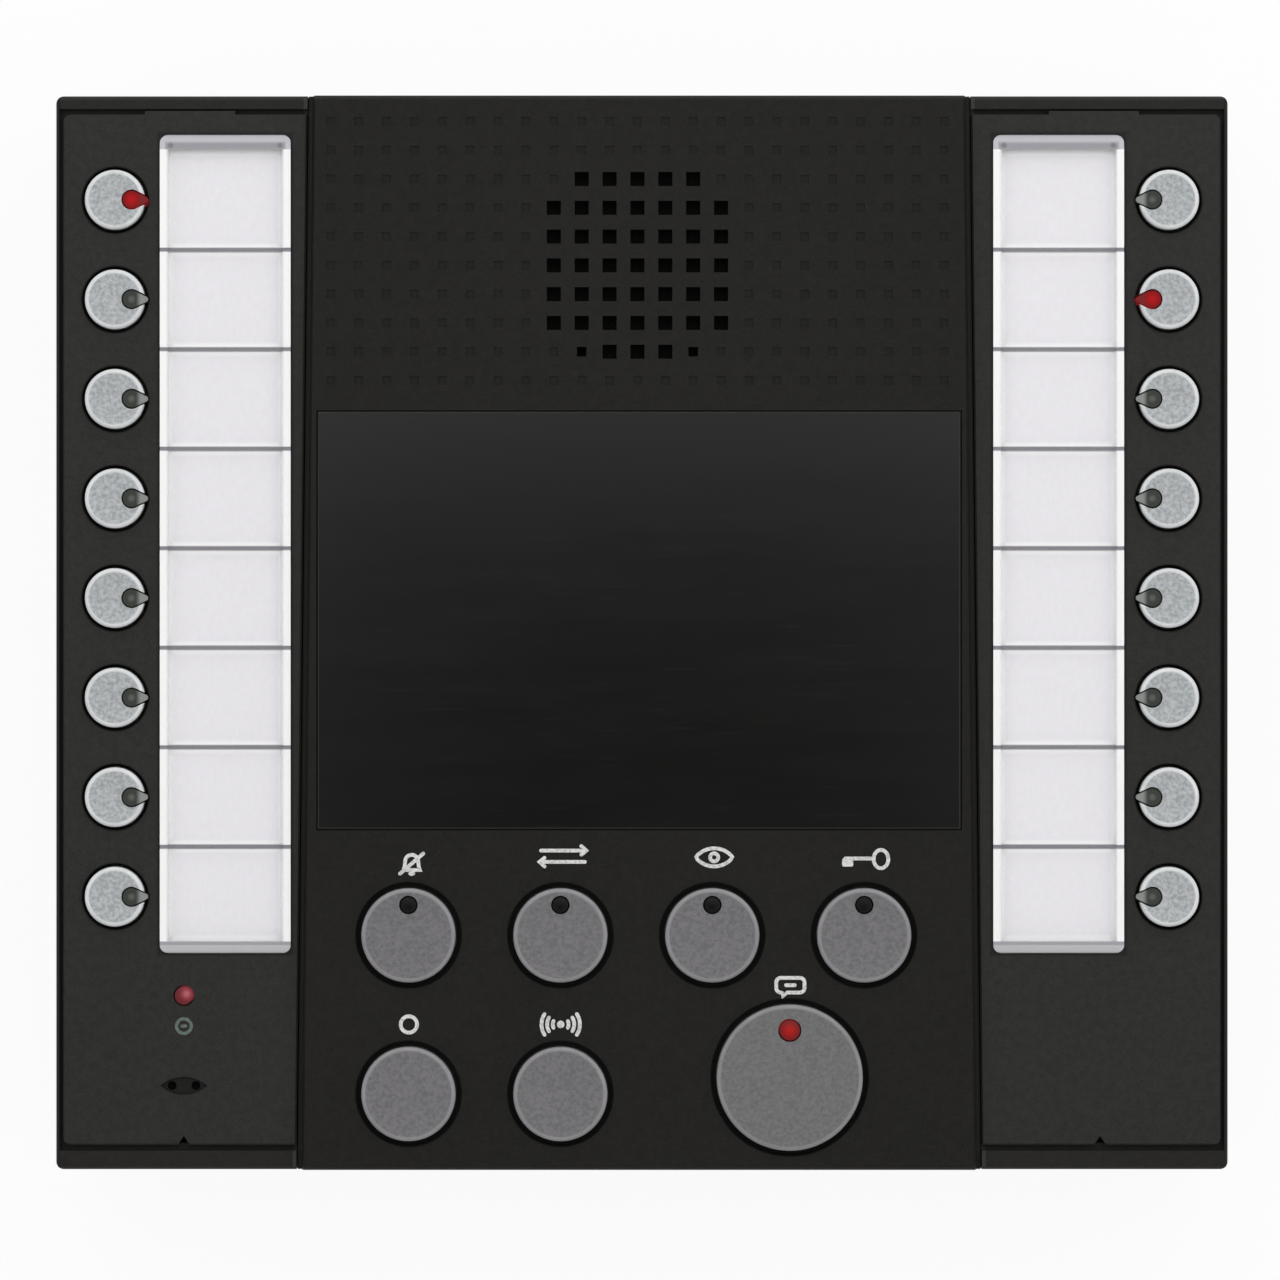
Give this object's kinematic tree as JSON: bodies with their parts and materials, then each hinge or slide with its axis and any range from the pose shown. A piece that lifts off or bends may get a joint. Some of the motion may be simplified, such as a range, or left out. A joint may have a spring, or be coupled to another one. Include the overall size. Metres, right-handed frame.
{
  "type": "intercom master station",
  "caption": "Flat desk or wall intercom master station with columns of station keys beside label strips, a speaker grille, a blank panel, function keys and a large talk key.",
  "frame": {"origin": "middle of the footprint on the plane that the rubber feet stand on", "axes": "+Z out of the face, +Y toward the top edge of the face, +X to the right of the face; the station lies on its back"},
  "size_m": [0.208, 0.1906, 0.0481],
  "materials": {
    "case_plastic": "fine grain",
    "wing_plastic": "fine grain",
    "blank_plastic": "smooth satin",
    "clear_plastic": "clear",
    "card": "plain white card with grey dividing lines",
    "station_key_plastic": "light grey, satin",
    "function_key_plastic": "mid grey, satin",
    "knob_plastic": "satin",
    "dark_lens": "smoked, unlit",
    "red_lens": "red, lit",
    "cloth": "woven",
    "speaker_steel": "plated",
    "cone_paper": "pressed paper",
    "magnet": "ceramic",
    "microphone_can": "satin",
    "rubber": "matte",
    "board": "green laminate",
    "board_part": "moulded",
    "jumper": "flat lead",
    "switch_plastic": "moulded",
    "jack_plastic": "moulded",
    "screw_steel": "zinc"
  },
  "bodies": {
    "station": {"front_case": "case_plastic", "centre_panel": "case_plastic", "rear_case": "case_plastic", "blank_panel": "blank_plastic", "left_wing_cover": "wing_plastic", "right_wing_cover": "wing_plastic", "left_label_cover": "clear_plastic", "right_label_cover": "clear_plastic", "left_label_card": "card", "right_label_card": "card", "lit_station_lights": "red_lens", "unlit_station_lights": "dark_lens", "function_lights": "dark_lens", "talk_light": "red_lens", "busy_light": "red_lens", "grille_cloth": "cloth", "speaker_frame": "speaker_steel", "speaker_cone": "cone_paper", "speaker_magnet": "magnet", "microphone": "microphone_can", "microphone_boot": "rubber", "main_board": "board", "left_key_board": "board", "right_key_board": "board", "board_parts": "board_part", "board_jumpers": "jumper", "board_screws": "screw_steel", "station_switches": "switch_plastic", "function_switches": "switch_plastic", "volume_pots": "switch_plastic", "line_jack": "jack_plastic", "case_screws": "screw_steel", "rubber_feet": "rubber"},
    "left_station_key_1": {"left_station_key_1": "station_key_plastic"},
    "left_station_key_2": {"left_station_key_2": "station_key_plastic"},
    "left_station_key_3": {"left_station_key_3": "station_key_plastic"},
    "left_station_key_4": {"left_station_key_4": "station_key_plastic"},
    "left_station_key_5": {"left_station_key_5": "station_key_plastic"},
    "left_station_key_6": {"left_station_key_6": "station_key_plastic"},
    "left_station_key_7": {"left_station_key_7": "station_key_plastic"},
    "left_station_key_8": {"left_station_key_8": "station_key_plastic"},
    "right_station_key_1": {"right_station_key_1": "station_key_plastic"},
    "right_station_key_2": {"right_station_key_2": "station_key_plastic"},
    "right_station_key_3": {"right_station_key_3": "station_key_plastic"},
    "right_station_key_4": {"right_station_key_4": "station_key_plastic"},
    "right_station_key_5": {"right_station_key_5": "station_key_plastic"},
    "right_station_key_6": {"right_station_key_6": "station_key_plastic"},
    "right_station_key_7": {"right_station_key_7": "station_key_plastic"},
    "right_station_key_8": {"right_station_key_8": "station_key_plastic"},
    "privacy_key": {"privacy_key": "function_key_plastic"},
    "transfer_key": {"transfer_key": "function_key_plastic"},
    "scan_key": {"scan_key": "function_key_plastic"},
    "door_key": {"door_key": "function_key_plastic"},
    "off_key": {"off_key": "function_key_plastic"},
    "all_call_key": {"all_call_key": "function_key_plastic"},
    "talk_key": {"talk_key": "function_key_plastic"},
    "call_volume_knob": {"call_volume_knob": "knob_plastic"},
    "chime_volume_knob": {"chime_volume_knob": "knob_plastic"}
  },
  "joints": [
    {"name": "left_station_key_1_press", "type": "slide", "parent": "station", "child": "left_station_key_1", "axis": [0, 0, -1], "range_m": [0, 0.001], "stiffness_N_per_m": 300, "springref_m": -0.001},
    {"name": "left_station_key_2_press", "type": "slide", "parent": "station", "child": "left_station_key_2", "axis": [0, 0, -1], "range_m": [0, 0.001], "stiffness_N_per_m": 300, "springref_m": -0.001},
    {"name": "left_station_key_3_press", "type": "slide", "parent": "station", "child": "left_station_key_3", "axis": [0, 0, -1], "range_m": [0, 0.001], "stiffness_N_per_m": 300, "springref_m": -0.001},
    {"name": "left_station_key_4_press", "type": "slide", "parent": "station", "child": "left_station_key_4", "axis": [0, 0, -1], "range_m": [0, 0.001], "stiffness_N_per_m": 300, "springref_m": -0.001},
    {"name": "left_station_key_5_press", "type": "slide", "parent": "station", "child": "left_station_key_5", "axis": [0, 0, -1], "range_m": [0, 0.001], "stiffness_N_per_m": 300, "springref_m": -0.001},
    {"name": "left_station_key_6_press", "type": "slide", "parent": "station", "child": "left_station_key_6", "axis": [0, 0, -1], "range_m": [0, 0.001], "stiffness_N_per_m": 300, "springref_m": -0.001},
    {"name": "left_station_key_7_press", "type": "slide", "parent": "station", "child": "left_station_key_7", "axis": [0, 0, -1], "range_m": [0, 0.001], "stiffness_N_per_m": 300, "springref_m": -0.001},
    {"name": "left_station_key_8_press", "type": "slide", "parent": "station", "child": "left_station_key_8", "axis": [0, 0, -1], "range_m": [0, 0.001], "stiffness_N_per_m": 300, "springref_m": -0.001},
    {"name": "right_station_key_1_press", "type": "slide", "parent": "station", "child": "right_station_key_1", "axis": [0, 0, -1], "range_m": [0, 0.001], "stiffness_N_per_m": 300, "springref_m": -0.001},
    {"name": "right_station_key_2_press", "type": "slide", "parent": "station", "child": "right_station_key_2", "axis": [0, 0, -1], "range_m": [0, 0.001], "stiffness_N_per_m": 300, "springref_m": -0.001},
    {"name": "right_station_key_3_press", "type": "slide", "parent": "station", "child": "right_station_key_3", "axis": [0, 0, -1], "range_m": [0, 0.001], "stiffness_N_per_m": 300, "springref_m": -0.001},
    {"name": "right_station_key_4_press", "type": "slide", "parent": "station", "child": "right_station_key_4", "axis": [0, 0, -1], "range_m": [0, 0.001], "stiffness_N_per_m": 300, "springref_m": -0.001},
    {"name": "right_station_key_5_press", "type": "slide", "parent": "station", "child": "right_station_key_5", "axis": [0, 0, -1], "range_m": [0, 0.001], "stiffness_N_per_m": 300, "springref_m": -0.001},
    {"name": "right_station_key_6_press", "type": "slide", "parent": "station", "child": "right_station_key_6", "axis": [0, 0, -1], "range_m": [0, 0.001], "stiffness_N_per_m": 300, "springref_m": -0.001},
    {"name": "right_station_key_7_press", "type": "slide", "parent": "station", "child": "right_station_key_7", "axis": [0, 0, -1], "range_m": [0, 0.001], "stiffness_N_per_m": 300, "springref_m": -0.001},
    {"name": "right_station_key_8_press", "type": "slide", "parent": "station", "child": "right_station_key_8", "axis": [0, 0, -1], "range_m": [0, 0.001], "stiffness_N_per_m": 300, "springref_m": -0.001},
    {"name": "privacy_key_press", "type": "slide", "parent": "station", "child": "privacy_key", "axis": [0, 0, -1], "range_m": [0, 0.001], "stiffness_N_per_m": 300, "springref_m": -0.001},
    {"name": "transfer_key_press", "type": "slide", "parent": "station", "child": "transfer_key", "axis": [0, 0, -1], "range_m": [0, 0.001], "stiffness_N_per_m": 300, "springref_m": -0.001},
    {"name": "scan_key_press", "type": "slide", "parent": "station", "child": "scan_key", "axis": [0, 0, -1], "range_m": [0, 0.001], "stiffness_N_per_m": 300, "springref_m": -0.001},
    {"name": "door_key_press", "type": "slide", "parent": "station", "child": "door_key", "axis": [0, 0, -1], "range_m": [0, 0.001], "stiffness_N_per_m": 300, "springref_m": -0.001},
    {"name": "off_key_press", "type": "slide", "parent": "station", "child": "off_key", "axis": [0, 0, -1], "range_m": [0, 0.001], "stiffness_N_per_m": 300, "springref_m": -0.001},
    {"name": "all_call_key_press", "type": "slide", "parent": "station", "child": "all_call_key", "axis": [0, 0, -1], "range_m": [0, 0.001], "stiffness_N_per_m": 300, "springref_m": -0.001},
    {"name": "talk_key_press", "type": "slide", "parent": "station", "child": "talk_key", "axis": [0, 0, -1], "range_m": [0, 0.001], "stiffness_N_per_m": 300, "springref_m": -0.001},
    {"name": "call_volume_slide", "type": "slide", "parent": "station", "child": "call_volume_knob", "axis": [0, 1, 0], "range_m": [-0.0045, 0.0045]},
    {"name": "chime_volume_slide", "type": "slide", "parent": "station", "child": "chime_volume_knob", "axis": [0, 1, 0], "range_m": [-0.0045, 0.0045]}
  ]
}
